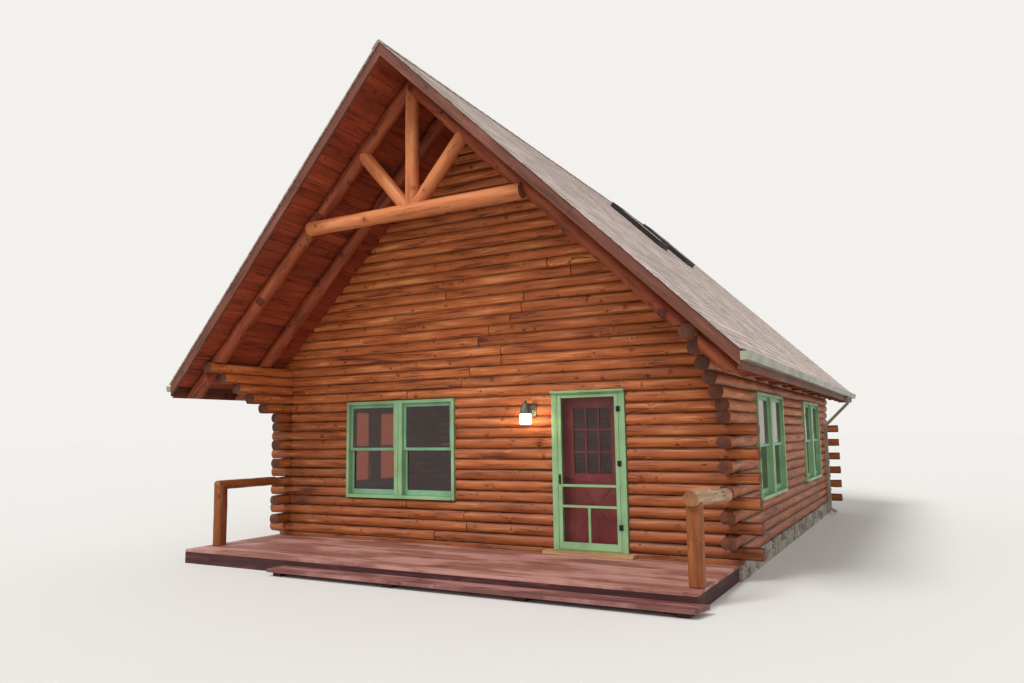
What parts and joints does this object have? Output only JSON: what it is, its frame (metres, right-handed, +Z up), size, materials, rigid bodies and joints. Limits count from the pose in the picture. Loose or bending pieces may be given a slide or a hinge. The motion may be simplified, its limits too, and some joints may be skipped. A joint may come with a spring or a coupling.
{
  "type": "log cabin",
  "caption": "Log cabin with a steep gable roof whose prow shelters a front porch; saddle-notched log walls, timber truss, twin windows, and a screen door before the entry door.",
  "frame": {"origin": "on the ground, under the ridge, midway between the roof's front and back edges", "axes": "+Z up, +Y from the porch towards the back, +X to the right of somebody who faces the front door"},
  "size_m": [8.89, 12.34, 6.9868],
  "materials": {
    "foundation_stone": "rough cast",
    "floor_wood": "oiled boards",
    "log_wood": "stained round logs",
    "rafter_wood": "dark stained logs",
    "peeled_wood": "peeled and oiled",
    "soffit_wood": "stained boards",
    "shingle": "mineral granules on felt",
    "fascia_paint": "painted board",
    "gutter_paint": "satin",
    "trim_paint": "satin paint",
    "sash_paint": "satin paint",
    "door_paint": "satin paint",
    "glass": "clear",
    "screen_mesh": "fine woven mesh",
    "dark_metal": "black enamel",
    "lantern_metal": "satin enamel",
    "bare_board": "bare planed board",
    "deck_wood": "stained deck boards",
    "weathered_wood": "weathered round log"
  },
  "bodies": {
    "cabin": {"foundation": "foundation_stone", "floor": "floor_wood", "floor_joists": "floor_wood", "front_wall_left": "log_wood", "front_wall_right": "log_wood", "front_gable_wall": "log_wood", "back_wall": "log_wood", "back_gable_wall": "log_wood", "left_wall": "log_wood", "right_wall": "log_wood", "left_upper_logs": "log_wood", "right_upper_logs": "log_wood", "left_rafters": "rafter_wood", "right_rafters": "rafter_wood", "truss_tie": "peeled_wood", "king_post": "peeled_wood", "truss_struts": "peeled_wood", "left_roof_deck": "soffit_wood", "right_roof_deck": "soffit_wood", "left_shingles": "shingle", "right_shingles": "shingle", "ridge_cap": "shingle", "left_fascia": "fascia_paint", "right_fascia": "fascia_paint", "left_gutter": "gutter_paint", "right_gutter": "gutter_paint", "skylight_frames": "dark_metal", "skylight_glass": "glass", "front_window_frame": "trim_paint", "front_window_sashes": "sash_paint", "front_window_glass": "glass", "right_windows": "trim_paint", "right_window_glass": "glass", "left_windows": "trim_paint", "left_window_glass": "glass", "back_window": "trim_paint", "back_window_glass": "glass", "door_frame": "trim_paint", "door_step_board": "bare_board", "door_hinges": "dark_metal", "lantern_body": "lantern_metal", "lantern_jar": "glass", "deck_boards": "deck_wood", "deck_frame": "deck_wood", "front_step": "deck_wood", "left_rail": "log_wood", "right_rail": "weathered_wood", "left_post": "log_wood", "right_post": "log_wood"},
    "screen_door": {"screen_door_frame": "trim_paint", "screen_mesh": "screen_mesh", "screen_hardware": "dark_metal"},
    "entry_door": {"entry_door_leaf": "door_paint", "entry_door_glass": "glass", "entry_hardware": "dark_metal"}
  },
  "joints": [
    {"name": "screen_door_hinge", "type": "hinge", "parent": "cabin", "child": "screen_door", "pos_m": [2.3, -3.9085, 1.3], "axis": [0, 0, 1], "range_deg": [0, 100]},
    {"name": "entry_door_hinge", "type": "hinge", "parent": "cabin", "child": "entry_door", "pos_m": [2.3, -3.6815, 1.3], "axis": [0, 0, -1], "range_deg": [0, 100]}
  ]
}
